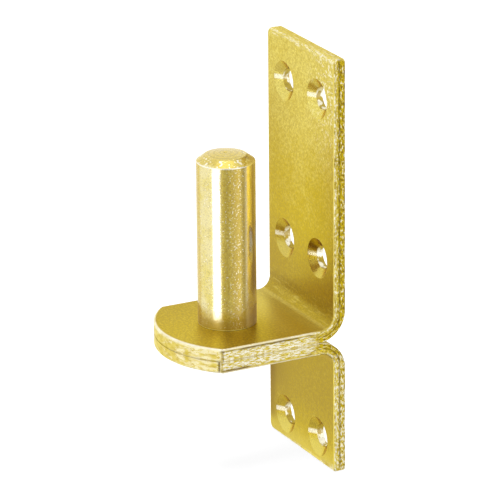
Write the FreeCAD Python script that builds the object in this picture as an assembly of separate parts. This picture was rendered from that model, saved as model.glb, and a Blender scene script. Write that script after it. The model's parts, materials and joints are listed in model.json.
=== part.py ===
import FreeCAD, Part
import math
import os

# Gate hinge pin: a shouldered pin riveted through the tabs of two bent plates, for screwing to a post.
# The origin is where the pin's axis meets the top of the tabs. +Z runs up the pin, +Y towards the post.

# Plates
plate_width = 38.0
plate_thickness = 3.5
upper_flange_height = 75.0  # top of the tabs to the plate's top edge
lower_flange_height = 35.0  # underside of the tabs to the plate's bottom edge
plate_reach = 45.4  # back of the flanges to the tip of the tabs
tab_end_rise = 8.6  # how far the rounded end of the tab reaches past its straight sides
pin_to_post = 26.0  # pin axis to the back of the flanges
bend_inner_radius = 3.5
bend_thinning = 1.2  # what the outside of the bend has lost to stretching, as extra radius
top_corner_radius = 2.0
bottom_corner_radius = 3.0
rolled_edge_radius = 0.7  # the soft edge that the shear leaves on the side it enters

# Screw holes, countersunk on the side that faces the pin
screw_hole_diameter = 6.4
countersink_diameter = 10.9
countersink_depth = 1.6
hole_spacing_across = 19.0
upper_row_from_edge = 13.0
upper_row_spacing = 44.8
lower_row_from_edge = 7.4

# Pin
pin_diameter = 16.0
pin_height = 48.0  # top of the tabs to the crown of the pin
tip_chamfer_width = 2.2
tip_chamfer_height = 1.6
tip_crown_height = 0.6
rim_rounding = 0.6  # where the chamfer meets the side of the pin
centre_mark_diameter = 1.2
centre_mark_depth = 0.4
shoulder_width = 3.0  # the step from the pin down to its shank
shank_clearance = 0.05  # all round, in the holes of both tabs
rivet_head_overhang = 2.5  # how far the closed head stands out past the shank
rivet_head_height = 2.4
rivet_head_chamfer = 1.2

# Worked out from the sizes above
half_width = plate_width / 2
tab_stack = 2 * plate_thickness
flange_front = pin_to_post - plate_thickness
bend_outer_radius = bend_inner_radius + plate_thickness + bend_thinning
tab_tip_y = pin_to_post - plate_reach
tab_corner_y = tab_tip_y + tab_end_rise
pin_radius = pin_diameter / 2
shank_radius = pin_radius - shoulder_width
shank_hole_radius = shank_radius + shank_clearance
hole_x = hole_spacing_across / 2
past = 1.0  # how far a cutting tool runs past what it cuts
near = 1e-4  # two places closer than this are the same

middle = math.sin(math.pi / 4)
along_x = FreeCAD.Vector(1, 0, 0)
along_y = FreeCAD.Vector(0, 1, 0)
along_z = FreeCAD.Vector(0, 0, 1)


def side_point(y, z):
    return FreeCAD.Vector(-half_width, y, z)


def line(start, end):
    return Part.LineSegment(start, end).toShape()


def arc(start, through, end):
    return Part.Arc(start, through, end).toShape()


def bend_arc(centre_y, centre_z, radius, start, end):
    """A quarter turn about a line along X, on the side away from the inside of the angle."""
    through = side_point(centre_y + radius * middle, centre_z - radius * middle)
    return arc(start, through, end)


def angle_bar(flange_height):
    """A bar bent to a right angle: the tab lies under z = 0 and the flange stands up at the post."""
    tab_end = tab_tip_y - past
    inner_y = flange_front - bend_inner_radius
    outer_y = pin_to_post - bend_outer_radius
    outer_z = bend_outer_radius - plate_thickness
    inner_start = side_point(inner_y, 0)
    inner_end = side_point(flange_front, bend_inner_radius)
    outer_start = side_point(pin_to_post, outer_z)
    outer_end = side_point(outer_y, -plate_thickness)
    tab_top = side_point(tab_end, 0)
    tab_bottom = side_point(tab_end, -plate_thickness)
    front_top = side_point(flange_front, flange_height)
    back_top = side_point(pin_to_post, flange_height)
    outline = Part.Wire([
        line(tab_top, inner_start),
        bend_arc(inner_y, bend_inner_radius, bend_inner_radius, inner_start, inner_end),
        line(inner_end, front_top),
        line(front_top, back_top),
        line(back_top, outer_start),
        bend_arc(outer_y, outer_z, bend_outer_radius, outer_start, outer_end),
        line(outer_end, tab_bottom),
        line(tab_bottom, tab_top),
    ])
    return Part.Face(outline).extrude(along_x * plate_width)


def plan_outline(flange_height):
    """The plate seen from above: straight sides and one rounded end, as a tall solid."""
    low = -plate_thickness - past
    back_y = pin_to_post + past
    left_back = FreeCAD.Vector(-half_width, back_y, low)
    left_corner = FreeCAD.Vector(-half_width, tab_corner_y, low)
    tip = FreeCAD.Vector(0, tab_tip_y, low)
    right_corner = FreeCAD.Vector(half_width, tab_corner_y, low)
    right_back = FreeCAD.Vector(half_width, back_y, low)
    outline = Part.Wire([
        line(left_back, left_corner),
        arc(left_corner, tip, right_corner),
        line(right_corner, right_back),
        line(right_back, left_back),
    ])
    return Part.Face(outline).extrude(along_z * (flange_height + plate_thickness + 2 * past))


def on_inner_skin(point):
    """True on the faces inside the angle: the top of the tab, the bend and the front of the flange."""
    on_tab = abs(point.z) < near
    on_flange = abs(point.y - flange_front) < near
    reach = math.hypot(point.y - flange_front + bend_inner_radius, point.z - bend_inner_radius)
    on_bend = abs(reach - bend_inner_radius) < near
    return on_tab or on_flange or on_bend


def face_middle(face):
    u_low, u_high, v_low, v_high = face.ParameterRange
    return face.valueAt((u_low + u_high) / 2, (v_low + v_high) / 2)


def rim_edges(faces):
    """The edges that go round a group of faces, without the seams between them."""
    edges = [edge for face in faces for edge in face.Edges]
    return [edge for edge in edges if sum(edge.isSame(other) for other in edges) == 1]


def roll_edges(plate):
    """Rounds the rim of the inner skin, which is the side that the shear enters."""
    inner = [face for face in plate.Faces if on_inner_skin(face_middle(face))]
    return plate.makeFillet(rolled_edge_radius, rim_edges(inner))


def round_corners(plate, flange_height, radius):
    """Rounds the two corners of the flange's end, through the plate's thickness."""
    corners = []
    for edge in plate.Edges:
        box = edge.BoundBox
        through_plate = box.YLength > plate_thickness / 2 and box.XLength < near and box.ZLength < near
        if through_plate and abs(box.ZMax - flange_height) < near:
            corners.append(edge)
    return plate.makeFillet(radius, corners)


def screw_hole(x, z):
    """A plain hole through the flange with a conical seat for the screw's head."""
    head_radius = countersink_diameter / 2
    hole_radius = screw_hole_diameter / 2
    slope = (head_radius - hole_radius) / countersink_depth
    start = FreeCAD.Vector(x, flange_front - past, z)
    through = Part.makeCylinder(hole_radius, plate_thickness + 2 * past, start, along_y)
    seat = Part.makeCone(head_radius + slope * past, hole_radius, countersink_depth + past, start, along_y)
    return through.fuse(seat)


def bent_plate(flange_height, corner_radius, hole_rows):
    plate = angle_bar(flange_height).common(plan_outline(flange_height))
    plate = round_corners(plate, flange_height, corner_radius)
    plate = roll_edges(plate)
    for z in hole_rows:
        for x in (-hole_x, hole_x):
            plate = plate.cut(screw_hole(x, z))
    base = FreeCAD.Vector(0, 0, -plate_thickness - past)
    plate = plate.cut(Part.makeCylinder(shank_hole_radius, plate_thickness + 2 * past, base, along_z))
    return plate


def upper_plate():
    top_row = upper_flange_height - upper_row_from_edge
    return bent_plate(upper_flange_height, top_corner_radius, [top_row, top_row - upper_row_spacing])


def lower_plate():
    """The same bend turned over: its tab lies against the underside of the upper one."""
    plate = bent_plate(lower_flange_height, bottom_corner_radius, [lower_flange_height - lower_row_from_edge])
    return plate.mirror(FreeCAD.Vector(0, 0, -plate_thickness), along_z)


def pin_point(radius, z):
    return FreeCAD.Vector(radius, 0, z)


def crown_arc(rim_radius, rim_z, rise):
    """Half of a shallow dome, from its rim to the axis."""
    sphere_radius = (rim_radius ** 2 + rise ** 2) / (2 * rise)
    middle_radius = rim_radius / 2
    middle_drop = sphere_radius - math.sqrt(sphere_radius ** 2 - middle_radius ** 2)
    crown_z = rim_z + rise
    through = pin_point(middle_radius, crown_z - middle_drop)
    return arc(pin_point(rim_radius, rim_z), through, pin_point(0, crown_z))


def corner_points(before, corner, after, radius):
    """The start, middle and end of the arc that rounds a corner and touches both of its lines."""
    to_before = (before - corner).normalize()
    to_after = (after - corner).normalize()
    half_angle = to_before.getAngle(to_after) / 2
    setback = radius / math.tan(half_angle)
    bisector = (to_before + to_after).normalize()
    arc_middle = corner + bisector * (radius / math.sin(half_angle) - radius)
    return corner + to_before * setback, arc_middle, corner + to_after * setback


def hinge_pin():
    """A turned pin whose shank goes down through both tabs and is closed into a flat head below them."""
    tip_radius = pin_radius - tip_chamfer_width
    tip_z = pin_height - tip_crown_height
    head_radius = shank_radius + rivet_head_overhang
    head_top = -tab_stack
    head_bottom = head_top - rivet_head_height
    tip = pin_point(tip_radius, tip_z)
    rim = pin_point(pin_radius, tip_z - tip_chamfer_height)
    foot = pin_point(pin_radius, 0)
    rim_start, rim_middle, rim_end = corner_points(tip, rim, foot, rim_rounding)
    below_tip = [
        rim_end,
        foot,
        pin_point(shank_radius, 0),
        pin_point(shank_radius, head_top),
        pin_point(head_radius, head_top),
        pin_point(head_radius, head_bottom + rivet_head_chamfer),
        pin_point(head_radius - rivet_head_chamfer, head_bottom),
        pin_point(0, head_bottom),
        pin_point(0, pin_height),
    ]
    straight_edges = [line(start, end) for start, end in zip(below_tip, below_tip[1:])]
    tip_edges = [
        crown_arc(tip_radius, tip_z, tip_crown_height),
        line(tip, rim_start),
        arc(rim_start, rim_middle, rim_end),
    ]
    pin = Part.Face(Part.Wire(tip_edges + straight_edges)).revolve(FreeCAD.Vector(0, 0, 0), along_z, 360)
    mark_radius = centre_mark_diameter / 2
    mark_slope = mark_radius / centre_mark_depth
    mark_foot = pin_point(0, pin_height - centre_mark_depth)
    mark_height = centre_mark_depth + past
    return pin.cut(Part.makeCone(0, mark_slope * mark_height, mark_height, mark_foot, along_z))


def save(name, shape):
    """Writes one solid to its own STEP file."""
    solids = shape.Solids
    if len(solids) != 1 or not shape.isValid():
        raise ValueError(f"{name} is not one valid solid")
    solids[0].exportStep(f"parts/{name}.step")
    box = shape.BoundBox
    print(f"{name}: {shape.Volume:.1f} mm3, {box.XLength:.2f} x {box.YLength:.2f} x {box.ZLength:.2f} mm")


os.makedirs("parts", exist_ok=True)
save("upper_plate", upper_plate())
save("lower_plate", lower_plate())
save("hinge_pin", hinge_pin())
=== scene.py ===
import json
import math

import bmesh
import bpy
from mathutils import Matrix, Vector


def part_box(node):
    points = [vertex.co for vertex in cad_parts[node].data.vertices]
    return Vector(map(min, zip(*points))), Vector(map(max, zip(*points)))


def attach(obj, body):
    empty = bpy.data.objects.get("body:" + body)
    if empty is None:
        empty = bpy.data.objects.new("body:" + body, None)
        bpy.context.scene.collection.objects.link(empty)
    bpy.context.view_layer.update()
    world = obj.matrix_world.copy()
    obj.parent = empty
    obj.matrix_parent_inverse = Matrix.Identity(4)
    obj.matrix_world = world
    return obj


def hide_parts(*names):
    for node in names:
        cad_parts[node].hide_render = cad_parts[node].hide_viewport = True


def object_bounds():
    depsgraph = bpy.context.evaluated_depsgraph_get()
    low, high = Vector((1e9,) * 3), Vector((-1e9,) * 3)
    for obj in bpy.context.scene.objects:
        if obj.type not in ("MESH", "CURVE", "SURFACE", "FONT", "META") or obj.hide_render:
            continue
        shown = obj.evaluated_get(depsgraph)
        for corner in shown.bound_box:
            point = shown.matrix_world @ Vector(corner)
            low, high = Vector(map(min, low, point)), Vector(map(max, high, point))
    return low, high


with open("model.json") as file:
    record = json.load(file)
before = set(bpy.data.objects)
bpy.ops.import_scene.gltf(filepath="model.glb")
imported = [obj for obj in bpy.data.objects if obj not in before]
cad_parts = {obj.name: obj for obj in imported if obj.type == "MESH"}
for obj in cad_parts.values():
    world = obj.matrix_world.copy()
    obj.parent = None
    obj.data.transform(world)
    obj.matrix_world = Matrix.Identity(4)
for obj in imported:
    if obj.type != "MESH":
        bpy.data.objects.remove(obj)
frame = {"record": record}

cadLow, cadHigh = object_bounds()  # the box round the imported parts
mm = 0.001
tiny = 1e-7  # points closer than this are merged
near = 1e-5  # two places closer than this are the same

# The frame gives the places of the plates, the pin and the screw holes
upperLow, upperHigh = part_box("upper_plate")
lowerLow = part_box("lower_plate")[0]
pinLow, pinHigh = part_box("hinge_pin")
mounts = {mount["name"]: mount for mount in frame["record"]["mounts"]}

halfWidth = upperHigh.x
thickness = -upperLow.z
flangeBack = upperHigh.y
flangeFront = flangeBack - thickness
tabTip = upperLow.y
tabStack = 2 * thickness


def selectOnly(piece):
    # everything else is deselected first, because operators act on all that is selected
    bpy.ops.object.select_all(action="DESELECT")
    piece.select_set(True)
    bpy.context.view_layer.objects.active = piece


def openMesh(piece):
    selectOnly(piece)
    bpy.ops.object.mode_set(mode="EDIT")
    bpy.ops.mesh.select_all(action="DESELECT")


def closeMesh():
    bpy.ops.object.mode_set(mode="OBJECT")


def pick(piece, kind, test):
    # selects the faces, edges or points of the open mesh that pass the test
    bpy.ops.mesh.select_mode(type=kind)
    bpy.ops.mesh.select_all(action="DESELECT")
    mesh = bmesh.from_edit_mesh(piece.data)
    found = {"VERT": mesh.verts, "EDGE": mesh.edges, "FACE": mesh.faces}[kind]
    chosen = [element for element in found if test(element)]
    for element in chosen:
        element.select_set(True)
    bmesh.update_edit_mesh(piece.data)


def addPrimitive(name, operator, **settings):
    bpy.ops.object.select_all(action="DESELECT")
    operator(**settings)
    piece = bpy.context.object
    piece.name = name
    piece.data.name = name
    bpy.ops.object.transform_apply(location=True, rotation=True, scale=True)
    return piece


def applyModifier(piece, kind, name, **settings):
    modifier = piece.modifiers.new(name, kind)
    for key, value in settings.items():
        setattr(modifier, key, value)
    selectOnly(piece)
    bpy.ops.object.modifier_apply(modifier=name)


# Plates: a bar with one round end, bent to a right angle
plateForm = {
    "tabEndRise": 8.6 * mm,  # how far the round end of the tab reaches past its straight sides
    "bendInside": 3.5 * mm,
    "bendOutside": 8.2 * mm,  # larger than the inside plus the thickness, as the bend has thinned
    "rolledEdge": 0.7 * mm,  # soft edge on the side that the shear enters
    "brokenEdge": 0.18 * mm,  # the sharp side, just broken
    "endPoints": 640,
    "bendSteps": 24,
    "cornerSteps": 8,
    "rollSteps": 4,
    "edgeSpacing": 0.25 * mm,  # between points along a sheared edge
    "edgeBlocks": 4,  # each straight is split in two passes, as one pass makes 100 cuts at most
    "edgeRows": 12,  # rows of faces through the thickness
    "endRows": 8,  # across the front of the flange, where it falls away at its end
    "rimAngle": 60,  # an edge of a skin that turns by more than this is its rim
    "sharpAngle": 30,
}
shearedEdge = {
    "stretch": 2.2,  # the torn grain is this much longer than it is deep
    "tornOnTab": 0.75 * mm,  # depth at which the smooth edge turns into torn metal
    "tornOnFlange": 1.95 * mm,
    "overBend": (15 * mm, 20 * mm),  # where the one changes into the other
    "soften": 0.35 * mm,
    "streak": 0.34 * mm,  # half width of the dark line, painted shade along a groove, where the tearing starts
    "rimOnTab": (0.15 * mm, 0.3 * mm),  # depth and half width of the painted highlight line on the rolled edge
    "rimOnFlange": (0.42 * mm, 0.4 * mm),
    "seam": (0.15 * mm, 0.3),  # width of the painted shade in the seam between the tabs, and its share on the sides
    "sharp": 0.5 * mm,  # depth over which the grain dies away towards the sharp side
    "sharpShare": 0.35,  # what is left of it there
    "turn": 0.8 * mm,  # how far in from the sides their roughness reaches
    "endShare": 0.2,  # the round end and the flange's end are smoother than the sides
    "corner": 0.17 * mm,  # half width of the painted shade line where the round end meets the side
    "grainLevel": 1.1,  # above the brightest grain, so that the grain only cuts into the edge
    "grains": {
        "tears": {"group": "torn", "size": 1.1, "depth": 1, "type": "SOFT_NOISE", "height": 0.2 * mm},
        "chips": {"group": "torn", "size": 0.45, "depth": 2, "type": "HARD_NOISE", "height": 0.15 * mm},
        "groove": {"group": "dark", "size": 2.4, "depth": 1, "type": "SOFT_NOISE", "height": 0.3 * mm},
    },
}
upperPlate = {
    "name": "upperPlatePlated",
    "node": "upper_plate",
    "flange": upperHigh.z,
    "turnedOver": False,
    "nearCorner": 1.1 * mm,
    "farCorner": 2.0 * mm,
    "endRoll": (0.9 * mm, 0.3 * mm, 1.6 * mm),  # drop, then reach at the far and near corners
    "cornerShadeShift": 0.0,  # how far the painted shade line lies past the corner
    "screws": mounts["upper_screws"],
}
lowerPlate = {
    "name": "lowerPlatePlated",
    "node": "lower_plate",
    "flange": -lowerLow.z - tabStack,
    "turnedOver": True,
    "nearCorner": 1.2 * mm,
    "farCorner": 2.2 * mm,
    "endRoll": (0.3 * mm, 0.6 * mm, 2.8 * mm),
    "cornerShadeShift": 0.9 * mm,
    "screws": mounts["lower_screws"],
}
screwHole = {
    "seatRadius": 5.45 * mm,
    "seatDepth": 1.6 * mm,
    "lip": 0.08 * mm,  # the broken edge round the seat
    "lipSlope": 2.5,
    "shankRadius": 5.05 * mm,  # of the bore for the pin
    "points": 96,
    "past": 1.0 * mm,  # how far a cutter runs past what it cuts
}

bendInside = plateForm["bendInside"]
bendOutside = plateForm["bendOutside"]
bendStartInside = flangeFront - bendInside
bendStartOutside = flangeBack - bendOutside
tabCorner = tabTip + plateForm["tabEndRise"]
endRise = plateForm["tabEndRise"]
endRadius = (halfWidth**2 + endRise**2) / (2 * endRise)


def bendPoint(turn, depth):
    # a point of the bend's section: the turn is 0 at the tab, the depth 0 inside and 1 outside
    radius = bendInside + depth * (bendOutside - bendInside)
    centreY = bendStartInside + depth * (bendStartOutside - bendStartInside)
    centreZ = bendInside + depth * (bendOutside - thickness - bendInside)
    return Vector((0, centreY + radius * math.sin(turn), centreZ - radius * math.cos(turn)))


def alongBar(point):
    # where a point lies on the unbent bar: its run along the bar, and its depth below the inside face
    lean = (bendStartOutside - bendStartInside) / -thickness
    if point.z < near and point.y <= bendStartInside + lean * point.z:
        return point.y, -point.z
    bendRun = (bendInside + thickness / 2) * math.pi / 2
    if point.z >= bendInside + lean * (point.y - flangeFront):
        return bendStartInside + bendRun + point.z - bendInside, point.y - flangeFront
    depth = 0.5
    for _ in range(12):  # the arcs of the bend have no common middle, so the depth is found step by step
        centre = bendPoint(0, depth) + Vector((0, 0, bendInside + depth * (bendOutside - bendInside)))
        reach = math.hypot(point.y - centre.y, point.z - centre.z)
        depth = (reach - bendInside) / (bendOutside - bendInside)
    turn = math.atan2(point.y - centre.y, centre.z - point.z)
    return bendStartInside + bendRun * turn / (math.pi / 2), depth * thickness


def isAt(value, place):
    return abs(value - place) < near


def ends(edge):
    return edge.verts[0].co, edge.verts[1].co


def isFold(edge, y, z):
    # a long edge at the corner of the angle
    return all(isAt(p.y, y) and isAt(p.z, z) for p in ends(edge))


def shapeBar(plate):
    # the round end is part of a cylinder, and the rest is pulled out of its flat side
    piece = addPrimitive(
        plate["name"], bpy.ops.mesh.primitive_cylinder_add, vertices=plateForm["endPoints"], radius=endRadius,
        depth=thickness, location=(0, tabTip + endRadius, -thickness / 2), end_fill_type="NGON",
    )
    openMesh(piece)
    bpy.ops.mesh.select_all(action="SELECT")
    bpy.ops.mesh.bisect(
        plane_co=(0, tabCorner, 0), plane_no=(0, 1, 0), use_fill=True, clear_outer=True, threshold=tiny,
    )
    pick(piece, "FACE", lambda face: face.normal.y > 0.9)
    bpy.ops.mesh.extrude_region_move(TRANSFORM_OT_translate={"value": (0, flangeBack - tabCorner, 0)})
    bpy.ops.mesh.select_all(action="SELECT")
    bpy.ops.mesh.bisect(plane_co=(0, flangeFront, 0), plane_no=(0, 1, 0), threshold=tiny)
    pick(piece, "FACE", lambda face: face.normal.z > 0.9 and face.calc_center_median().y > flangeFront)
    bpy.ops.mesh.extrude_region_move(TRANSFORM_OT_translate={"value": (0, 0, plate["flange"])})
    bpy.ops.mesh.select_all(action="SELECT")
    bpy.ops.mesh.remove_doubles(threshold=near)
    bpy.ops.mesh.dissolve_limited(angle_limit=0.001)
    return piece


def bevelEdges(piece, test, size, steps):
    pick(piece, "EDGE", test)
    bpy.ops.mesh.bevel(offset=size, segments=steps, profile=0.5, affect="EDGES", clamp_overlap=False)


def bendBar(piece, plate):
    # the two long edges at the corner of the angle become the bend, and the flange gets its round corners
    steps = plateForm["bendSteps"]
    bevelEdges(piece, lambda edge: isFold(edge, flangeFront, 0), bendInside, steps)
    bevelEdges(piece, lambda edge: isFold(edge, flangeBack, -thickness), bendOutside, steps)
    for side, corner in ((halfWidth, plate["nearCorner"]), (-halfWidth, plate["farCorner"])):
        bevelEdges(
            piece, lambda edge: all(isAt(p.x, side) and isAt(p.z, plate["flange"]) for p in ends(edge)),
            corner, plateForm["cornerSteps"],
        )
    # seams through the middles of the holes, so that no face has a hole in it
    holeMiddle = plate["screws"]["dims"]["spacing_x_mm"] * mm / 2
    for seam in (-holeMiddle, 0, holeMiddle):
        bpy.ops.mesh.select_all(action="SELECT")
        bpy.ops.mesh.bisect(plane_co=(seam, 0, 0), plane_no=(1, 0, 0), threshold=tiny)


def layRungs(piece):
    # rungs across the sheared sides of the bend, so that they can be roughened
    steps = plateForm["bendSteps"]
    for side in (-halfWidth, halfWidth):
        for step in range(steps + 1):
            turn = math.pi / 2 * step / steps
            rung = [bendPoint(turn, depth) + Vector((side, 0, 0)) for depth in (0, 1)]
            pick(piece, "VERT", lambda vert: any((vert.co - end).length < near for end in rung))
            bpy.ops.mesh.vert_connect()


def isRim(edge, depth):
    start, end = ends(edge)
    if not all(isAt(alongBar(p)[1], depth) for p in (start, end)) or len(edge.link_faces) != 2:
        return False
    return edge.calc_face_angle() > math.radians(plateForm["rimAngle"])


def rollEdges(piece):
    bevelEdges(piece, lambda edge: isRim(edge, 0), plateForm["rolledEdge"], plateForm["rollSteps"])
    bevelEdges(piece, lambda edge: isRim(edge, thickness), plateForm["brokenEdge"], 2)


def isAcross(edge):
    # an edge that runs through the thickness
    start, end = ends(edge)
    return abs(alongBar(start)[1] - alongBar(end)[1]) > thickness / 2


def isLong(edge, onStraight):
    # an edge along a straight of the sheared edge that still has to be split
    tooLong = edge.calc_length() > 2 * plateForm["edgeSpacing"]
    return tooLong and onStraight(*ends(edge)) and not isAcross(edge)


def splitEdges(piece, plate):
    # the long faces of the sheared edges are split along their length, then through the thickness
    top = plate["flange"]
    blocks = plateForm["edgeBlocks"]
    rim = plateForm["rolledEdge"] + near
    straights = (
        (lambda p, q: onSide(p, q, rim) and max(p.z, q.z) < near, bendStartInside - tabCorner),
        (lambda p, q: onSide(p, q, rim) and min(p.z, q.z) > bendInside - near, top - bendInside),
        (lambda p, q: min(p.z, q.z) > top - rim and isAt(p.z, q.z) and isAt(p.y, q.y), halfWidth / 2),
    )
    for onStraight, length in straights:
        for pieces in (blocks, round(length / blocks / plateForm["edgeSpacing"])):
            pick(piece, "EDGE", lambda edge: isLong(edge, onStraight))
            bpy.ops.mesh.subdivide(number_cuts=pieces - 1)
    pick(piece, "EDGE", lambda edge: isAcross(edge) and not atHole(edge.verts[0].co, plate))
    bpy.ops.mesh.subdivide(number_cuts=plateForm["edgeRows"] - 1)


def onSide(start, end, rim):
    return abs(start.x - end.x) < rim / 8 and abs(start.x) > halfWidth - rim


def holePlaces(plate):
    # the middles of the screw holes in the flange, as it stands before the plate is turned over
    sizes = plate["screws"]["dims"]
    middle = plate["screws"]["pos_m"]
    height = -tabStack - middle[2] if plate["turnedOver"] else middle[2]
    acrossStep = sizes["spacing_x_mm"] * mm / 2
    upStep = sizes.get("spacing_y_mm", 0) * mm / 2
    return sorted({(middle[0] + i * acrossStep, height + j * upStep) for i in (-1, 1) for j in (-1, 1)})


def seatRows(plate):
    # the heights of the rows of screw holes, as the plates stand
    return [-tabStack - z if plate["turnedOver"] else z for x, z in holePlaces(plate)]


def atHole(point, plate):
    reach = screwHole["seatRadius"] + screwHole["past"]
    onTab = math.hypot(point.x, point.y) < reach
    return onTab or any(math.hypot(point.x - x, point.z - z) < reach for x, z in holePlaces(plate))


def rollEnd(piece, plate):
    # the front of the flange falls away at its end, over a reach that grows towards the near corner
    drop, farReach, nearReach = plate["endRoll"]
    top = plate["flange"]
    rows = plateForm["endRows"]
    for row in range(rows):
        share = 1 - row / rows
        across = Vector((2 * halfWidth, 0, (farReach - nearReach) * share))
        pick(piece, "FACE", lambda face: face.normal.y < -0.99 and face.calc_center_median().z > bendInside)
        bpy.ops.mesh.bisect(
            plane_co=(-halfWidth, flangeFront, top - farReach * share),
            plane_no=(-across.z, 0, across.x), threshold=tiny,
        )
    mesh = bmesh.from_edit_mesh(piece.data)
    for vert in mesh.verts:
        reach = farReach + (nearReach - farReach) * (vert.co.x + halfWidth) / (2 * halfWidth)
        share = (vert.co.z - top + reach) / reach
        if share > 0:
            depth = (vert.co.y - flangeFront) / thickness
            vert.co.y += drop * share**2 * (1 - depth)
    bmesh.update_edit_mesh(piece.data)


def clamp(value):
    return min(max(value, 0), 1)


def bell(distance, width):
    return math.exp(-(distance / width)**2)


def shearAt(point, depth, plate):
    # how torn a place on the plate's edge is, and how much painted shade and painted highlight it has; the
    # faces have none of the three
    if depth < near or depth > thickness - near or atHole(point, plate):
        return 0, 0, 0
    side = clamp((abs(point.x) - halfWidth) / shearedEdge["turn"] + 1)
    bendFrom, bendTo = shearedEdge["overBend"]
    onFlange = clamp((point.y - bendFrom) / (bendTo - bendFrom))
    tearing = shearedEdge["tornOnTab"] * (1 - onFlange) + shearedEdge["tornOnFlange"] * onFlange
    torn = clamp((depth - tearing) / shearedEdge["soften"]) * max(side, shearedEdge["endShare"])
    dark = side * bell(depth - tearing, shearedEdge["streak"])
    crack = bell(point.y - tabCorner + plate["cornerShadeShift"], shearedEdge["corner"])
    seamWidth, seamShare = shearedEdge["seam"]
    seam = bell(depth - thickness, seamWidth) * (1 - onFlange) * (1 - side + side * seamShare)
    rimDepth, rimWidth = (
        tab * (1 - onFlange) + flange * onFlange
        for tab, flange in zip(shearedEdge["rimOnTab"], shearedEdge["rimOnFlange"])
    )
    return torn, max(dark, crack, seam), bell(depth - rimDepth, rimWidth)


def mapEdges(piece, plate):
    # a map named blank, in millimetres along the sheared edge and down through it, and the state of the edge
    mesh = piece.data
    places = [alongBar(vertex.co) for vertex in mesh.vertices]
    blank = mesh.uv_layers.new(name="blank")
    for polygon in mesh.polygons:
        sideways = abs(polygon.normal.x) > 0.7
        for loop in polygon.loop_indices:
            index = mesh.loops[loop].vertex_index
            run, depth = places[index]
            along = run if sideways else mesh.vertices[index].co.x
            blank.data[loop].uv = (along / mm / shearedEdge["stretch"], depth / mm)
    states = [shearAt(vertex.co, depth, plate) for vertex, (run, depth) in zip(mesh.vertices, places)]
    flat = [value for state in states for value in state]
    mesh.attributes.new("sheared", "FLOAT_VECTOR", "POINT").data.foreach_set("vector", flat)
    torn = piece.vertex_groups.new(name="torn")
    dark = piece.vertex_groups.new(name="dark")
    for index, (run, depth) in enumerate(places):
        sharp = clamp(max((thickness - depth) / shearedEdge["sharp"], shearedEdge["sharpShare"]))
        torn.add([index], states[index][0] * sharp, "REPLACE")
        dark.add([index], states[index][1], "REPLACE")


def roughenEdges(piece):
    for name, settings in shearedEdge["grains"].items():
        texture = bpy.data.textures.new(name, "CLOUDS")
        texture.noise_scale = settings["size"]
        texture.noise_depth = settings["depth"]
        texture.noise_type = settings["type"]
        applyModifier(
            piece, "DISPLACE", name, texture=texture, texture_coords="UV", uv_layer="blank",
            mid_level=shearedEdge["grainLevel"], strength=settings["height"], vertex_group=settings["group"],
        )


def turnOver(piece):
    openMesh(piece)
    bpy.ops.mesh.select_all(action="SELECT")
    bpy.ops.transform.resize(value=(1, 1, -1), center_override=(0, 0, -thickness))
    bpy.ops.mesh.remove_doubles(threshold=tiny)
    bpy.ops.mesh.normals_make_consistent(inside=False)
    closeMesh()


def growFace(piece, facing, step, ratio):
    # pulls out the end face that looks along -Y and scales it about its own middle
    pick(piece, "FACE", lambda face: face.normal.y < -0.99 and len(face.verts) > 4)
    bpy.ops.mesh.extrude_region_move(TRANSFORM_OT_translate={"value": (0, -step, 0)})
    bpy.ops.transform.resize(value=(ratio, 1, ratio), center_override=facing)


def screwCutter(place, holeRadius):
    depth = screwHole["seatDepth"]
    start = flangeFront + depth
    end = flangeBack + screwHole["past"]
    x, z = place
    cutter = addPrimitive(
        "screwCutter", bpy.ops.mesh.primitive_cylinder_add, vertices=screwHole["points"], radius=holeRadius,
        depth=end - start, location=(x, (start + end) / 2, z), rotation=(math.pi / 2, 0, 0),
        end_fill_type="NGON",
    )
    seat = screwHole["seatRadius"]
    lip = screwHole["lip"]
    wide = seat + lip * screwHole["lipSlope"]
    openMesh(cutter)
    growFace(cutter, (x, flangeFront, z), depth - lip, seat / holeRadius)
    growFace(cutter, (x, flangeFront, z), 2 * lip, (2 * wide - seat) / seat)
    closeMesh()
    return cutter


def cut(piece, cutter):
    applyModifier(piece, "BOOLEAN", "hole", object=cutter, operation="DIFFERENCE", solver="EXACT")
    bpy.data.objects.remove(cutter)


def cutHoles(piece, plate):
    for place in holePlaces(plate):
        cut(piece, screwCutter(place, plate["screws"]["dims"]["hole_r_mm"] * mm))
    length = 2 * (tabStack + screwHole["past"])
    shank = addPrimitive(
        "shankCutter", bpy.ops.mesh.primitive_cylinder_add, vertices=screwHole["points"],
        radius=screwHole["shankRadius"], depth=length, location=(0, 0, -thickness),
    )
    cut(piece, shank)


def smooth(piece, angle):
    selectOnly(piece)
    bpy.ops.object.shade_smooth_by_angle(angle=math.radians(angle))
    applyModifier(piece, "WEIGHTED_NORMAL", "flatFaces", mode="FACE_AREA", weight=100, keep_sharp=True)


def report(piece):
    mesh = piece.data
    triangles = sum(len(polygon.vertices) - 2 for polygon in mesh.polygons)
    low, high = (
        [round(bound(vertex.co[i] for vertex in mesh.vertices) / mm, 3) for i in range(3)]
        for bound in (min, max)
    )
    print(f"{piece.name}: {triangles} triangles, {low} to {high} mm")


def makePlate(plate):
    piece = shapeBar(plate)
    bendBar(piece, plate)
    layRungs(piece)
    rollEdges(piece)
    closeMesh()
    cutHoles(piece, plate)
    openMesh(piece)
    splitEdges(piece, plate)
    rollEnd(piece, plate)
    closeMesh()
    mapEdges(piece, plate)
    roughenEdges(piece)
    if plate["turnedOver"]:
        turnOver(piece)
    smooth(piece, plateForm["sharpAngle"])
    report(piece)
    return piece


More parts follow.
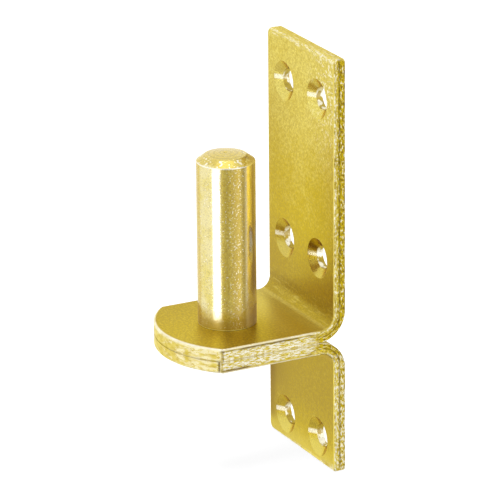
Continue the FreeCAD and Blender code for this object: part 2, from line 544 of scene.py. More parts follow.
# Pin: a turned bar with a chamfered crown, riveted through both tabs
pinForm = {
    "radius": mounts["pin"]["dims"]["r_mm"] * mm,
    "points": 192,
    "rows": 64,  # of faces up the side
    "chamferWidth": 2.2 * mm,
    "chamferHeight": 1.6 * mm,
    "crownRise": 0.6 * mm,
    "rimBreak": 0.3 * mm,
    "rimSteps": 4,
    "footBreak": 0.2 * mm,
    "footSteps": 2,
    "crownRings": 12,
    "ringDepth": 0.02 * mm,  # how deep the turning marks are
    "markRadius": 0.6 * mm,
    "markInset": 0.9,  # the share of it that slopes, before the rest is merged to a point
    "markDepth": 0.4 * mm,
    "shank": 5.0 * mm,
    "head": 7.5 * mm,
    "headChamfer": 1.2 * mm,
    # which way each side of the paint faces, in degrees, and how far out it starts and is full
    # the lit side is painted light, the two highlight lines are painted highlights and the shaded side is
    # painted shade
    "litSide": (28, 6.9 * mm, 7.5 * mm),
    "highlightLine": (44, 7.85 * mm, 7.95 * mm),
    "chippedSide": (82, 7.7 * mm, 7.9 * mm),
    "shadedSide": (88, 7.6 * mm, 7.9 * mm),
    "secondHighlight": (125, 7.2 * mm, 7.8 * mm),
    "ringSpacing": 1.5 * mm,
    "wear": 0.03 * mm,
    "wearSize": 2.2 * mm,
    "slack": 0.05 * mm,  # how far from a circle its points may lie
    "sharpAngle": 25,
}


def crownHeight(radius):
    # how far the crown stands above the top of the chamfer
    tipRadius = pinForm["radius"] - pinForm["chamferWidth"]
    rise = pinForm["crownRise"]
    sphere = (tipRadius**2 + rise**2) / (2 * rise)
    return rise - sphere + math.sqrt(sphere**2 - radius**2)


def onTurn(edge, radius, height):
    # an edge of the circle that the pin has at this height
    onCircle = all(abs(math.hypot(p.x, p.y) - radius) < pinForm["slack"] for p in ends(edge))
    return onCircle and all(isAt(p.z, height) for p in ends(edge))


def makePin():
    radius = pinForm["radius"]
    rimHeight = pinHigh.z - pinForm["crownRise"] - pinForm["chamferHeight"]
    piece = addPrimitive(
        "hingePinTurned", bpy.ops.mesh.primitive_cylinder_add, vertices=pinForm["points"], radius=radius,
        depth=rimHeight, location=(0, 0, rimHeight / 2), end_fill_type="NGON",
    )
    openMesh(piece)
    pick(piece, "EDGE", lambda edge: edge.calc_length() > rimHeight / 2)
    bpy.ops.mesh.subdivide(number_cuts=pinForm["rows"] - 1)
    pick(piece, "FACE", lambda face: face.normal.z > 0.9)
    bpy.ops.mesh.inset(thickness=pinForm["chamferWidth"], depth=pinForm["chamferHeight"])
    tipRadius = radius - pinForm["chamferWidth"]
    step = (tipRadius - pinForm["markRadius"]) / pinForm["crownRings"]
    for ring in range(pinForm["crownRings"]):
        inner = tipRadius - step * (ring + 1)
        rise = crownHeight(inner) - crownHeight(inner + step)
        groove = pinForm["ringDepth"] * (1, 0, -1, 0)[ring % 4]  # up and down, four insets to a ring
        bpy.ops.mesh.inset(thickness=step, depth=rise + groove)
    bpy.ops.mesh.inset(thickness=pinForm["markRadius"] * pinForm["markInset"], depth=-pinForm["markDepth"])
    bpy.ops.mesh.merge(type="CENTER")
    pick(piece, "FACE", lambda face: face.normal.z < -0.9)
    bpy.ops.mesh.inset(thickness=radius - pinForm["shank"], depth=0)
    bpy.ops.mesh.extrude_region_move(TRANSFORM_OT_translate={"value": (0, 0, -tabStack)})
    bpy.ops.mesh.extrude_region_move(TRANSFORM_OT_translate={"value": (0, 0, 0)})
    spread = pinForm["head"] / pinForm["shank"]
    bpy.ops.transform.resize(value=(spread, spread, 1), center_override=(0, 0, -tabStack))
    headStraight = -pinLow.z - tabStack - pinForm["headChamfer"]
    bpy.ops.mesh.extrude_region_move(TRANSFORM_OT_translate={"value": (0, 0, -headStraight)})
    bpy.ops.mesh.inset(thickness=pinForm["headChamfer"], depth=pinForm["headChamfer"])
    bevelEdges(piece, lambda edge: onTurn(edge, radius, rimHeight), pinForm["rimBreak"], pinForm["rimSteps"])
    bevelEdges(piece, lambda edge: onTurn(edge, radius, 0), pinForm["footBreak"], pinForm["footSteps"])
    bpy.ops.mesh.select_all(action="SELECT")
    bpy.ops.mesh.remove_doubles(threshold=tiny)
    bpy.ops.mesh.normals_make_consistent(inside=False)
    closeMesh()
    group = piece.vertex_groups.new(name="side")
    side = [v.index for v in piece.data.vertices if near < v.co.z < rimHeight - near]
    group.add(side, 1.0, "REPLACE")
    texture = bpy.data.textures.new("wear", "CLOUDS")
    texture.noise_scale = pinForm["wearSize"]
    applyModifier(
        piece, "DISPLACE", "wear", texture=texture, texture_coords="LOCAL", mid_level=1.0,
        strength=pinForm["wear"], vertex_group="side",
    )
    smooth(piece, pinForm["sharpAngle"])
    report(piece)
    return piece


# Finish: yellow passivated zinc. Colours are linear
plating = {
    "gold": (0.66, 0.50, 0.01, 1),
    "barGold": (0.61, 0.43, 0.014, 1),
    # pale gold, for the mottle and for painted light
    "pale": (0.84, 0.73, 0.19, 1),
    # deep gold, for the grain and for painted shade
    "deep": (0.40, 0.275, 0.03, 1),
    # bare metal, and painted highlights
    "bareAndHighlight": (0.98, 0.95, 0.80, 1),
    # stains in the torn metal, and painted shade
    "stainAndShade": (0.24, 0.14, 0.02, 1),
    # painted shade in the seam between the tabs and at the corner
    "creviceShade": (0.16, 0.09, 0.01, 1),
    "veil": (0.8, 0.75, 0.8, 1),  # the faint milky bloom on the pin
    "edgeTint": (1.0, 0.88, 0.45, 1),  # keeps the metal yellow where it is seen at a slant
    "pinTint": (0.96, 0.88, 0.55, 1),
}


def feed(tree, node, inputs):
    # inputs are values or the sockets that feed them
    for key, value in inputs.items():
        if isinstance(value, bpy.types.NodeSocket):
            tree.links.new(value, node.inputs[key])
        else:
            node.inputs[key].default_value = value


def addNode(tree, kind, inputs=None, **settings):
    node = tree.nodes.new(kind)
    for key, value in settings.items():
        setattr(node, key, value)
    feed(tree, node, inputs or {})
    return node


def noiseNode(tree, vector, scale, detail=2.0, roughness=0.5):
    inputs = {"Vector": vector, "Scale": scale, "Detail": detail, "Roughness": roughness}
    return addNode(tree, "ShaderNodeTexNoise", inputs).outputs["Fac"]


def mixColour(tree, amount, first, second):
    node = addNode(tree, "ShaderNodeMix", {0: amount, 6: first, 7: second}, data_type="RGBA")
    return node.outputs[2]


def mixValue(tree, amount, first, second):
    node = addNode(tree, "ShaderNodeMix", {0: amount, 2: first, 3: second}, data_type="FLOAT")
    return node.outputs[0]


def rampUp(tree, value, low, high, bottom=0.0, top=1.0):
    # goes smoothly from bottom to top, while the value goes from low to high or down to it
    inputs = {"Value": value, "From Min": low, "From Max": high, "To Min": bottom, "To Max": top}
    node = addNode(tree, "ShaderNodeMapRange", inputs, interpolation_type="SMOOTHSTEP")
    return node.outputs["Result"]


def mathNode(tree, operation, *values):
    # more than two values are joined one after the other
    result = values[0]
    for value in values[1:] or (0.0,):
        result = addNode(tree, "ShaderNodeMath", {0: result, 1: value}, operation=operation).outputs[0]
    return result


def multiply(tree, *values):
    return mathNode(tree, "MULTIPLY", *values) if len(values) > 1 else values[0]


def add(tree, *values):
    return mathNode(tree, "ADD", *values)


def subtract(tree, first, second):
    return mathNode(tree, "SUBTRACT", first, second)


def largest(tree, *values):
    return mathNode(tree, "MAXIMUM", *values)


def drawOut(tree, vector, share):
    # a pattern on this map is longer along X
    node = addNode(tree, "ShaderNodeVectorMath", {0: vector, 1: (share, 1, 1)}, operation="MULTIPLY")
    return node.outputs[0]


def split(tree, vector):
    parts = addNode(tree, "ShaderNodeSeparateXYZ", {0: vector}).outputs
    return parts["X"], parts["Y"], parts["Z"]


def newMaterial(name):
    material = bpy.data.materials.new(name)
    material.use_nodes = True
    return material, material.node_tree


def tint(tree, colour, name, *shares):
    # lays one of the plating's colours over another colour, by the product of the shares
    return mixColour(tree, multiply(tree, *shares), colour, plating[name])


def layOut(tree, at, patterns, zones):
    # gives a finish its noise patterns, and its zones as products of ramps
    for name, (source, *settings) in patterns.items():
        at[name] = noiseNode(tree, at[source], *settings)
    for name, ramps in zones.items():
        at[name] = multiply(tree, *(
            rampUp(tree, at[axis], start * mm, full * mm, *levels) for axis, start, full, *levels in ramps
        ))


# What the plates' paint is laid out by. The paint's places are in millimetres
frontMm = flangeFront / mm
backMm = flangeBack / mm
cornerMm = tabCorner / mm
topMm = upperHigh.z / mm
underMm = -tabStack / mm
platePatterns = {
    # the map that the noise lies on, then its scale, detail and roughness
    "mottle": ("place", 1400, 3, 0.6),
    "broad": ("place", 160),
    "grain": ("place", 2600, 2, 0.6),
    "speckle": ("place", 1300, 1),
    "creases": ("lengthways", 1900),
    "patches": ("place", 420),
    "cloud": ("blank", 0.9, 3, 0.6),
    "whites": ("blank", 0.6, 3, 0.6),
    "curls": ("blank", 1.1, 1),
    "tears": ("drawn", 1.6, 3, 0.6),
    "fibres": ("drawn", 3.4, 3, 0.65),
    "specks": ("blank", 2.3, 2, 0.6),
    "streaks": ("blank", 0.5, 3, 0.6),
}
plateZones = {
    # for each ramp the axis, where it starts and where it is full, and its two levels if they aren't 0 and 1
    # painted light: the flange is paler towards its top
    "high": [("z", 22, 66)],
    "overBend": [("z", 26, 8), ("y", 16.5, 21), ("z", 0, 6, 0.3, 1.0), ("z", -4, -3)],
    "lower": [("z", -7, -8.5)],
    "lowerShade": [("z", -42, -22, 0.0, 0.6)],
    "lowerEnd": [("z", -34, -41)],
    "farShade": [("x", 4, -19), ("z", 70, 50)],
    "nearCorner": [("z", 36, 70), ("x", 2, 17)],
    "front": [("y", frontMm + 0.6, frontMm + 0.3)],
    "farSide": [("x", -5, -17), ("z", -32, -22)],
    "farEdge": [("x", -13.5, -17.5), ("z", -39.5, -36.5)],
    "bend": [("z", 8, 4), ("y", 15, 19), ("z", -1, 0)],
    "topEnd": [("z", topMm - 2.2, topMm - 1), ("y", backMm - 0.1, backMm - 0.4)],
    "tabTop": [("z", 0.6, 0.2), ("z", -0.5, -0.1)],
    "tabAtPost": [("y", 6, 14)],
    "inFlange": [("y", frontMm, frontMm + 0.1), ("y", backMm, backMm - 0.1), ("across", 16.5, 16)],
    "inHole": [("y", frontMm + 1.5, frontMm + 1.7)],
    "nearLip": [("offColumn", 1.5, 2.5)],
    "roundEnd": [("y", cornerMm, cornerMm - 0.5), ("z", -0.1, -0.4), ("z", underMm, underMm + 0.1)],
    "endRoll": [("z", -1.2, -0.4)],
    "farEnd": [("x", -2, -12, 0.0, 0.3)],
    "nearEnd": [("x", -12, 16, -0.08, 0.1)],
    # the painted shade line where the round end meets the side
    "crack": [("y", cornerMm + 0.8, cornerMm + 0.4), ("y", cornerMm - 1.6, cornerMm - 1.2)],
    "onTab": [("y", 19, 14)],
    "lowerTab": [("z", -3, -4)],
    "side": [("across", 18.4, 18.7)],
}
seatBands = {
    # heights from the middle of a row of screws, for the seats' painted shade above, painted light below and
    # painted highlight across the middle
    "reach": (7 * mm, 6.5 * mm),
    "above": (0.5 * mm, 2 * mm),
    "below": (-1 * mm, -3 * mm),
    "bright": (0.9 * mm, 0.4 * mm),
}
darkStreak = {
    "upper": (-7 * mm, 13 * mm),  # from and to where it is longest, along Y
    "lower": (-11.5 * mm, -2 * mm),
    "fade": 2 * mm,
}


def readPlates(tree):
    at = {"place": addNode(tree, "ShaderNodeTexCoord").outputs["Object"]}
    at["blank"] = addNode(tree, "ShaderNodeUVMap", uv_map="blank").outputs["UV"]
    sheared = addNode(tree, "ShaderNodeAttribute", attribute_name="sheared").outputs["Vector"]
    at["torn"], at["dark"], at["rim"] = split(tree, sheared)
    at["x"], at["y"], at["z"] = split(tree, at["place"])
    at["across"] = mathNode(tree, "ABSOLUTE", at["x"])
    holeMiddle = upperPlate["screws"]["dims"]["spacing_x_mm"] * mm / 2
    column = multiply(tree, mathNode(tree, "SIGN", at["x"]), holeMiddle)
    at["offColumn"] = subtract(tree, at["x"], column)
    at["lengthways"] = drawOut(tree, at["place"], 0.12)
    at["drawn"] = drawOut(tree, at["blank"], 0.42)
    layOut(tree, at, platePatterns, plateZones)
    at["offTab"] = subtract(tree, 1.0, at["onTab"])
    at["offEnd"] = subtract(tree, 1.0, at["roundEnd"])
    return at


def paintFaces(tree, at):
    # a fine mottle, and painted light that makes the flange paler towards its top
    pale = add(
        tree, rampUp(tree, at["mottle"], 0.35, 0.65, -0.2, 0.2), multiply(tree, at["high"], 0.8),
        rampUp(tree, at["broad"], 0.35, 0.65, -0.1, 0.1),
    )
    face = mixColour(tree, pale, plating["gold"], plating["pale"])
    # dark in the grain, and painted shade over the bend, at the far side and on the lower flange, which has
    # painted light at its end
    shade = add(
        tree, rampUp(tree, at["grain"], 0.62, 0.38, 0.0, 0.45),
        rampUp(tree, at["mottle"], 0.6, 0.4, 0.0, 0.12),
        multiply(tree, at["tabTop"], rampUp(tree, at["mottle"], 0.6, 0.4, 0.0, 0.3)),
        multiply(tree, at["overBend"], 0.42), multiply(tree, at["lower"], at["lowerShade"]),
        multiply(tree, at["farShade"], 0.25),
    )
    face = tint(tree, face, "deep", shade)
    face = tint(tree, face, "pale", at["lower"], at["lowerEnd"], 0.35)
    # and a painted reflection of the flange, paler, in the tab, with painted glints at the flange's near
    # corner
    face = tint(tree, face, "pale", at["tabTop"], at["tabAtPost"], 0.4)
    face = tint(tree, face, "bareAndHighlight", at["nearCorner"], rampUp(tree, at["speckle"], 0.56, 0.64), 0.8)
    # painted shade on the far side of the lower flange's front, most in a strip along the edge
    lowerFarShade = add(tree, multiply(tree, at["farSide"], 0.35), multiply(tree, at["farEdge"], 0.6))
    face = tint(tree, face, "stainAndShade", at["lower"], at["front"], lowerFarShade)
    # a few creases along the bend, pale as painted highlights, and pale streaks along the top end
    crease = rampUp(tree, at["creases"], 0.55, 0.7)
    face = tint(tree, face, "pale", at["bend"], crease, 0.35)
    return tint(tree, face, "bareAndHighlight", at["topEnd"], crease, 0.6)


def paintSeats(tree, at, face):
    # the seats get painted shade above and a painted highlight across the middle, with painted light and
    # shade below, and the holes below them get painted light and shade in patches
    patchy = mixColour(tree, rampUp(tree, at["patches"], 0.46, 0.56), plating["deep"], plating["bareAndHighlight"])
    seats = []
    for row in sorted({height for plate in (upperPlate, lowerPlate) for height in seatRows(plate)}):
        height = subtract(tree, at["z"], row)
        offRow = mathNode(tree, "ABSOLUTE", height)
        here = multiply(tree, at["inFlange"], rampUp(tree, offRow, *seatBands["reach"]))
        above = multiply(tree, here, rampUp(tree, height, *seatBands["above"]))
        below = multiply(tree, here, rampUp(tree, height, *seatBands["below"]))
        face = tint(tree, face, "deep", above, 0.5)
        face = tint(tree, face, "pale", below, 0.35)
        face = tint(tree, face, "deep", below, at["nearLip"], 0.8)
        face = tint(tree, face, "bareAndHighlight", here, rampUp(tree, offRow, *seatBands["bright"]), 0.6)
        wall = subtract(tree, here, multiply(tree, above, 0.7))
        face = mixColour(tree, multiply(tree, wall, at["inHole"], 0.8), face, patchy)
        seats.append(here)
    return face, largest(tree, *seats)


def paintRoundEnd(tree, at, face):
    # pale patches, white ones with curled lines towards the near corner, and a soft painted highlight along
    # the roll
    end = mixColour(tree, rampUp(tree, at["cloud"], 0.3, 0.6, 0.3, 1.0), plating["gold"], plating["pale"])
    end = tint(tree, end, "bareAndHighlight", at["farEnd"])
    white = rampUp(tree, add(tree, at["whites"], at["nearEnd"]), 0.47, 0.66)
    curl = mathNode(tree, "ABSOLUTE", subtract(tree, at["curls"], 0.5))
    end = tint(tree, end, "bareAndHighlight", white, rampUp(tree, curl, 0.008, 0.03), 0.7)
    end = tint(tree, end, "bareAndHighlight", at["endRoll"], rampUp(tree, at["cloud"], 0.3, 0.55, 0.15, 0.6))
    return mixColour(tree, at["roundEnd"], face, end)


def speckled(tree, specks, goldFrom, goldTo, bareFrom, bareTo):
    colour = mixColour(tree, rampUp(tree, specks, goldFrom, goldTo), plating["stainAndShade"], plating["gold"])
    return tint(tree, colour, "bareAndHighlight", rampUp(tree, specks, bareFrom, bareTo))


def paintTorn(tree, at, face):
    # a smooth band and then torn metal, which is whitest on the tabs
    tears, specks = at["tears"], at["specks"]
    band = mixColour(tree, rampUp(tree, tears, 0.38, 0.55), plating["deep"], plating["gold"])
    face = mixColour(tree, at["side"], face, band)
    onUpper = speckled(tree, specks, 0.38, 0.5, 0.57, 0.64)
    onLower = speckled(tree, specks, 0.33, 0.42, 0.48, 0.56)
    flange = mixColour(tree, multiply(tree, at["lower"], 0.8), onUpper, onLower)
    white = mixColour(tree, rampUp(tree, at["fibres"], 0.44, 0.52), plating["gold"], plating["bareAndHighlight"])
    pale = mixColour(tree, rampUp(tree, specks, 0.4, 0.6), plating["barGold"], plating["pale"])
    tab = mixColour(tree, rampUp(tree, tears, 0.38, 0.5), pale, white)
    torn = largest(tree, at["torn"], multiply(tree, at["side"], at["offTab"], 0.7))
    colour = mixColour(tree, at["onTab"], flange, tab)
    return mixColour(tree, multiply(tree, torn, at["offEnd"]), face, colour)


def paintStreak(tree, at, face):
    # the dark line where the tearing starts, painted shade along its groove, comes and goes, and is darkest
    # at the corner and in the seam, where it is painted shade too
    start, end = (
        mixValue(tree, at["lowerTab"], upper, lower)
        for upper, lower in zip(darkStreak["upper"], darkStreak["lower"])
    )
    longest = multiply(
        tree, rampUp(tree, subtract(tree, at["y"], start), 0.0, darkStreak["fade"]),
        rampUp(tree, subtract(tree, end, at["y"]), 0.0, darkStreak["fade"]),
        rampUp(tree, at["streaks"], 0.38, 0.5, 0.75, 1.0),
    )
    elsewhere = multiply(tree, rampUp(tree, at["streaks"], 0.45, 0.6), 0.35)
    crack = multiply(tree, at["crack"], 0.9)
    onTab = largest(tree, longest, elsewhere, crack, multiply(tree, at["roundEnd"], 0.8))
    onFlange = rampUp(tree, at["tears"], 0.56, 0.4, 0.0, 0.75)
    streak = multiply(tree, at["dark"], mixValue(tree, at["onTab"], onFlange, onTab))
    inSeam = multiply(tree, at["roundEnd"], subtract(tree, 1.0, crack))
    return mixColour(tree, streak, face, mixColour(tree, inSeam, plating["creviceShade"], plating["deep"]))


def paintRim(tree, at, face):
    # a painted highlight along the rolled edge, in patches on the flanges
    patchy = rampUp(tree, at["tears"], 0.4, 0.56, 0.1, 1.0)
    even = mixValue(tree, at["roundEnd"], multiply(tree, at["onTab"], 0.85), 0.7)
    colour = mixColour(tree, rampUp(tree, at["specks"], 0.46, 0.56), plating["pale"], plating["bareAndHighlight"])
    colour = tint(tree, colour, "bareAndHighlight", at["onTab"])
    return mixColour(tree, multiply(tree, at["rim"], largest(tree, patchy, even)), face, colour)


def platePlating():
    material, tree = newMaterial("platePlating")
    at = readPlates(tree)
    face, seat = paintSeats(tree, at, paintFaces(tree, at))
    for paint in (paintRoundEnd, paintTorn, paintStreak, paintRim):
        face = paint(tree, at, face)
    # smoothest in the seats, and rough where the metal is torn, bent or clouded
    roughness = rampUp(tree, at["grain"], 0.3, 0.7, 0.3, 0.42)
    rim = multiply(tree, at["rim"], at["offTab"])
    levels = ((at["torn"], 0.5), (at["bend"], 0.55), (at["roundEnd"], 0.8), (rim, 0.62), (seat, 0.2))
    for share, level in levels:
        roughness = mixValue(tree, share, roughness, level)
    relief = mixValue(tree, at["torn"], at["grain"], at["specks"])
    bump = addNode(tree, "ShaderNodeBump", {"Height": relief, "Distance": 0.06 * mm, "Strength": 0.7})
    feed(tree, tree.nodes["Principled BSDF"], {
        "Base Color": face,
        "Metallic": 1.0,
        "Roughness": roughness,
        "Normal": bump.outputs["Normal"],
        "Specular Tint": plating["edgeTint"],
        "Coat Weight": rampUp(tree, largest(tree, at["torn"], at["dark"]), 0.1, 0.8, 0.5, 0.15),
        "Coat Roughness": 0.6,
        "Coat IOR": 1.5,
    })
    return material


# What the pin's paint is laid out by
rimMm = (pinHigh.z - pinForm["crownRise"] - pinForm["chamferHeight"]) / mm
pinPatterns = {
    "grain": ("place", 1800, 3, 0.6),
    "broad": ("place", 220),
    "ridges": ("place", 800),
    "speckle": ("place", 2300, 1),
    "flakes": ("place", 1700),
}
pinZones = {
    "tip": [("z", rimMm, rimMm + 0.3)],
    "crown": [("z", rimMm + 1.5, rimMm + 1.6)],
    # the rim and the foot take painted highlights, and the pin just above the tabs painted shade
    "rim": [("z", rimMm - 0.25, rimMm - 0.1), ("z", rimMm + 0.2, rimMm + 0.05)],
    "aboveTabs": [("z", 3.8, 2.2, 0.0, 0.5)],
    "rubbed": [("z", 2, 4)],
    "foot": [("z", 0.4, 0.25), ("z", -0.2, -0.1)],
    "polish": [("z", 1, 12, 0.34, 0.16)],  # the roughness, which is less up the pin
}


def towards(tree, at, side):
    # a zone of the pin that lies out in one direction
    degrees, start, full = pinForm[side]
    turn = math.radians(degrees)
    reach = add(tree, multiply(tree, at["x"], math.sin(turn)), multiply(tree, at["y"], -math.cos(turn)))
    return rampUp(tree, reach, start, full)


def paintBar(tree, at):
    # pale in the grain and in clouds, with painted light and painted highlight patches on one side and at the
    # tip, and painted shade on another side and just above the tabs
    litSide = multiply(tree, towards(tree, at, "litSide"), 0.75)
    cloud = rampUp(tree, at["broad"], 0.4, 0.65, 0.0, 0.15)
    pale = add(tree, rampUp(tree, at["grain"], 0.4, 0.7, 0.0, 0.3), cloud)
    pale = largest(tree, pale, litSide, multiply(tree, at["tip"], 0.4))
    face = mixColour(tree, pale, plating["barGold"], plating["pale"])
    face = tint(tree, face, "deep", rampUp(tree, at["grain"], 0.52, 0.34, 0.0, 0.45))
    face = tint(tree, face, "deep", towards(tree, at, "shadedSide"), 0.55)
    face = tint(tree, face, "bareAndHighlight", litSide, rampUp(tree, at["broad"], 0.35, 0.65, 0.05, 0.4))
    return tint(tree, face, "deep", at["aboveTabs"])


def paintCrown(tree, at, face):
    # turning rings on the crown, which run slightly out of true, painted glints round its chamfer, and white
    # specks and chips
    squares = add(tree, multiply(tree, at["x"], at["x"]), multiply(tree, at["y"], at["y"]))
    radius = add(tree, mathNode(tree, "SQRT", squares), multiply(tree, at["broad"], 0.6 * mm))
    rings = mathNode(tree, "SINE", multiply(tree, radius, 2 * math.pi / pinForm["ringSpacing"]))
    face = tint(tree, face, "deep", at["crown"], rampUp(tree, rings, 0.2, 0.9, 0.0, 0.4))
    offCrown = subtract(tree, 1.0, at["crown"])
    glints = multiply(tree, at["tip"], rampUp(tree, at["ridges"], 0.56, 0.62), offCrown)
    chips = multiply(tree, towards(tree, at, "chippedSide"), rampUp(tree, at["flakes"], 0.6, 0.66, 0.0, 0.6))
    bright = largest(tree, rampUp(tree, at["speckle"], 0.67, 0.73), glints, chips)
    return tint(tree, face, "bareAndHighlight", bright, 0.8)


def paintHighlights(tree, at, face):
    # painted highlights: a line up one side above the foot, a second one further round, and lines at the rim
    # and at the foot
    line = multiply(tree, towards(tree, at, "highlightLine"), at["rubbed"])
    secondHighlight = multiply(tree, towards(tree, at, "secondHighlight"), 0.7)
    return tint(tree, face, "bareAndHighlight", largest(tree, line, at["rim"], secondHighlight, at["foot"]), 0.85)


def pinPlating():
    material, tree = newMaterial("pinPlating")
    at = {"place": addNode(tree, "ShaderNodeTexCoord").outputs["Object"]}
    at["x"], at["y"], at["z"] = split(tree, at["place"])
    layOut(tree, at, pinPatterns, pinZones)
    face = paintHighlights(tree, at, paintCrown(tree, at, paintBar(tree, at)))
    relief = add(tree, at["grain"], at["ridges"])
    bump = addNode(tree, "ShaderNodeBump", {"Height": relief, "Distance": 0.08 * mm, "Strength": 0.6})
    feed(tree, tree.nodes["Principled BSDF"], {
        "Base Color": face,
        "Metallic": 1.0,
        "Roughness": at["polish"],
        "Normal": bump.outputs["Normal"],
        "Specular Tint": plating["pinTint"],
        "Sheen Weight": 0.15,
        "Sheen Roughness": 0.8,
        "Sheen Tint": plating["veil"],
        "Coat Weight": 0.7,
        "Coat Roughness": 0.08,
        "Coat IOR": 1.6,
    })
    return material


def dress(piece, node, material):
    piece.data.materials.clear()
    piece.data.materials.append(material)
    piece.visible_diffuse = False  # no yellow glow on the floor
    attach(piece, "root")
    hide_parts(node)


# Studio: a pale floor, an overhead softbox, a card to the left and a room with light and dark sides
studio = {
    "floorSize": 4.0,
    "floorColour": (0.86, 0.86, 0.86, 1),
    "floorGlow": 0.56,
    "softboxSize": 0.9,
    "softboxHeight": 0.85,
    "softboxPower": 6.5,
    "cardTurn": -60,  # azimuth of the card, which stands on the floor and lights the upper flange
    "cardDistance": 0.18,
    "cardSize": (0.2, 0.3),
    "cardGlow": 1.1,
    "roomLight": 0.4,
    "brightest": 7.0,
    # azimuth in degrees, from the front towards +X, and how bright that side looks in the metal
    "room": (
        (-180, 0.5), (-150, 0.5), (-117, 0.42), (-95, 0.35), (-60, 0.2), (-42, 0.2), (-35, 1.45), (5, 1.5),
        (17, 2.0), (20, 7.0), (30, 7.0), (34, 1.4), (66, 0.75), (80, 1.0), (94, 1.35), (106, 1.5), (117, 1.9),
        (134, 0.75), (145, 1.0), (152, 1.0), (160, 0.5), (180, 0.5),
    ),
    "limit": 1.9,  # the sides are no brighter than this above and below the strip light
    "strip": (-0.55, -0.42, -0.12, 0.0),  # sines of the elevations where the strip light starts and ends
    # sines of the elevations where the floor takes over, and how bright it looks in front and behind
    "below": (-0.42, -0.62, 0.3, 1.2),
    "frontToBack": (-0.3, 0.2),  # where it changes from the one to the other
    # and the same for the ceiling and the lamp in it
    "above": ((0.65, 0.8, 1.3), (0.9, 0.99, 2.0)),
}


def addFloor():
    floor = addPrimitive(
        "studioFloor", bpy.ops.mesh.primitive_plane_add, size=studio["floorSize"], location=(0, 0, cadLow.z),
    )
    material, tree = newMaterial("studioFloor")
    tree.nodes.clear()
    matt = addNode(tree, "ShaderNodeBsdfDiffuse", {"Color": studio["floorColour"]}).outputs[0]
    glow = addNode(tree, "ShaderNodeEmission", {"Strength": studio["floorGlow"]}).outputs[0]
    rays = addNode(tree, "ShaderNodeLightPath").outputs
    lit = addNode(tree, "ShaderNodeMixShader", {0: rays["Is Camera Ray"], 2: glow})
    both = addNode(tree, "ShaderNodeAddShader", {0: matt, 1: lit.outputs[0]}).outputs[0]
    fromBelow = addNode(tree, "ShaderNodeNewGeometry").outputs["Backfacing"]
    clear = addNode(tree, "ShaderNodeBsdfTransparent").outputs[0]
    seen = addNode(tree, "ShaderNodeMixShader", {0: fromBelow, 1: both, 2: clear}).outputs[0]
    addNode(tree, "ShaderNodeOutputMaterial", {"Surface": seen})
    floor.data.materials.append(material)
    floor.visible_glossy = False  # the metal sees the room's own light and dark sides instead


def addRoom():
    world = bpy.data.worlds.new("room")
    bpy.context.scene.world = world
    world.use_nodes = True
    tree = world.node_tree
    tree.nodes.clear()
    toward = addNode(tree, "ShaderNodeTexCoord").outputs["Generated"]
    x, y, z = split(tree, toward)
    azimuth = mathNode(tree, "ARCTAN2", x, multiply(tree, y, -1))
    fullTurn = {"Value": azimuth, "From Min": -math.pi, "From Max": math.pi}
    share = addNode(tree, "ShaderNodeMapRange", fullTurn).outputs[0]
    ramp = addNode(tree, "ShaderNodeValToRGB", {"Fac": share})
    marks = ramp.color_ramp.elements
    while len(marks) < len(studio["room"]):
        marks.new(1.0)
    for mark, (degrees, level) in zip(marks, studio["room"]):
        mark.position = (degrees + 180) / 360
        mark.color = [level / studio["brightest"]] * 3 + [1]
    inMetal = multiply(tree, ramp.outputs["Color"], studio["brightest"])
    stripStart, stripLow, stripHigh, stripEnd = studio["strip"]
    inStrip = multiply(tree, rampUp(tree, z, stripStart, stripLow), rampUp(tree, z, stripEnd, stripHigh))
    limit = mixValue(tree, inStrip, studio["limit"], studio["brightest"])
    inMetal = mathNode(tree, "MINIMUM", inMetal, limit)
    floorStart, floorEnd, inFront, behind = studio["below"]
    floorLevel = rampUp(tree, y, *studio["frontToBack"], inFront, behind)
    inMetal = mixValue(tree, rampUp(tree, z, floorStart, floorEnd), inMetal, floorLevel)
    for start, end, level in studio["above"]:
        inMetal = mixValue(tree, rampUp(tree, z, start, end), inMetal, level)
    rays = addNode(tree, "ShaderNodeLightPath").outputs
    seen = mixValue(tree, rays["Is Glossy Ray"], studio["roomLight"], inMetal)
    clear = largest(tree, rays["Is Camera Ray"], rays["Is Transmission Ray"])
    seen = mixValue(tree, clear, seen, 1.0)
    light = addNode(tree, "ShaderNodeBackground", {"Strength": seen}).outputs[0]
    addNode(tree, "ShaderNodeOutputWorld", {"Surface": light})


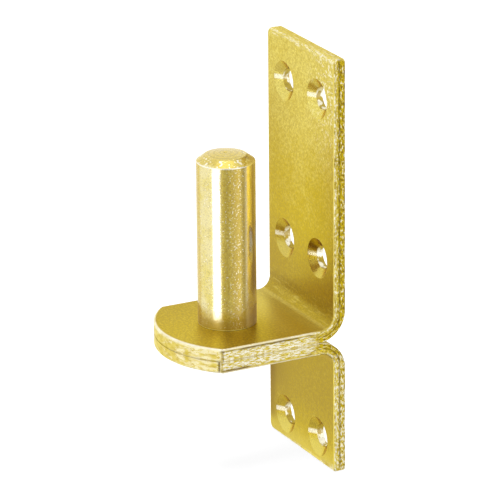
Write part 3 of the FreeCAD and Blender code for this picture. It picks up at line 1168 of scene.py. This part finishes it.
def addCard():
    turn = math.radians(studio["cardTurn"])
    width, height = studio["cardSize"]
    place = Vector((math.sin(turn), -math.cos(turn), 0)) * studio["cardDistance"]
    place.z = cadLow.z + height / 2
    card = addPrimitive(
        "studioCard", bpy.ops.mesh.primitive_plane_add, size=1, scale=(width, height, 1),
        rotation=(math.pi / 2, 0, turn), location=place,
    )
    material, tree = newMaterial("studioCard")
    tree.nodes.clear()
    glow = addNode(tree, "ShaderNodeEmission", {"Strength": studio["cardGlow"]}).outputs[0]
    addNode(tree, "ShaderNodeOutputMaterial", {"Surface": glow})
    card.data.materials.append(material)
    card.visible_camera = False
    card.visible_diffuse = False
    card.visible_shadow = False
    card.visible_transmission = False


def addSoftbox():
    bpy.ops.object.light_add(type="AREA", location=(0, 0, studio["softboxHeight"]))
    softbox = bpy.context.object
    softbox.name = "softbox"
    softbox.data.size = studio["softboxSize"]
    softbox.data.energy = studio["softboxPower"]
    softbox.visible_glossy = False


# Camera: fitted to the edges of the plates and the pin in the photograph
cameraFit = {
    "azimuth": 63.017,
    "elevation": 19.479,
    "roll": -0.514,
    "distance": 1.04764,
    "focalPixels": 3875.0,
    "imagePixels": 500,
    "clipStart": 0.01,
    "right": -6.130 * mm,  # the origin's offset from the middle of the picture
    "up": -19.190 * mm,
    "sensor": 36.0,
}


def addCamera():
    turn, rise, roll = (math.radians(cameraFit[key]) for key in ("azimuth", "elevation", "roll"))
    back = Vector((math.sin(turn) * math.cos(rise), -math.cos(turn) * math.cos(rise), math.sin(rise)))
    level = Vector((math.cos(turn), math.sin(turn), 0))
    upright = back.cross(level)
    right = level * math.cos(roll) + upright * math.sin(roll)
    up = upright * math.cos(roll) - level * math.sin(roll)
    bpy.ops.object.camera_add()
    camera = bpy.context.object
    camera.data.sensor_width = cameraFit["sensor"]
    camera.data.lens = cameraFit["sensor"] * cameraFit["focalPixels"] / cameraFit["imagePixels"]
    camera.data.clip_start = cameraFit["clipStart"]
    place = back * cameraFit["distance"] - right * cameraFit["right"] - up * cameraFit["up"]
    camera.matrix_world = Matrix.Translation(place) @ Matrix((right, up, back)).transposed().to_4x4()
    bpy.context.scene.camera = camera


plateFinish = platePlating()
for plate in (upperPlate, lowerPlate):
    dress(makePlate(plate), plate["node"], plateFinish)
dress(makePin(), "hinge_pin", pinPlating())
print("pieces made")
addFloor()
addRoom()
addCard()
addSoftbox()
addCamera()
bpy.context.scene.view_settings.view_transform = "Standard"
print("studio set up")
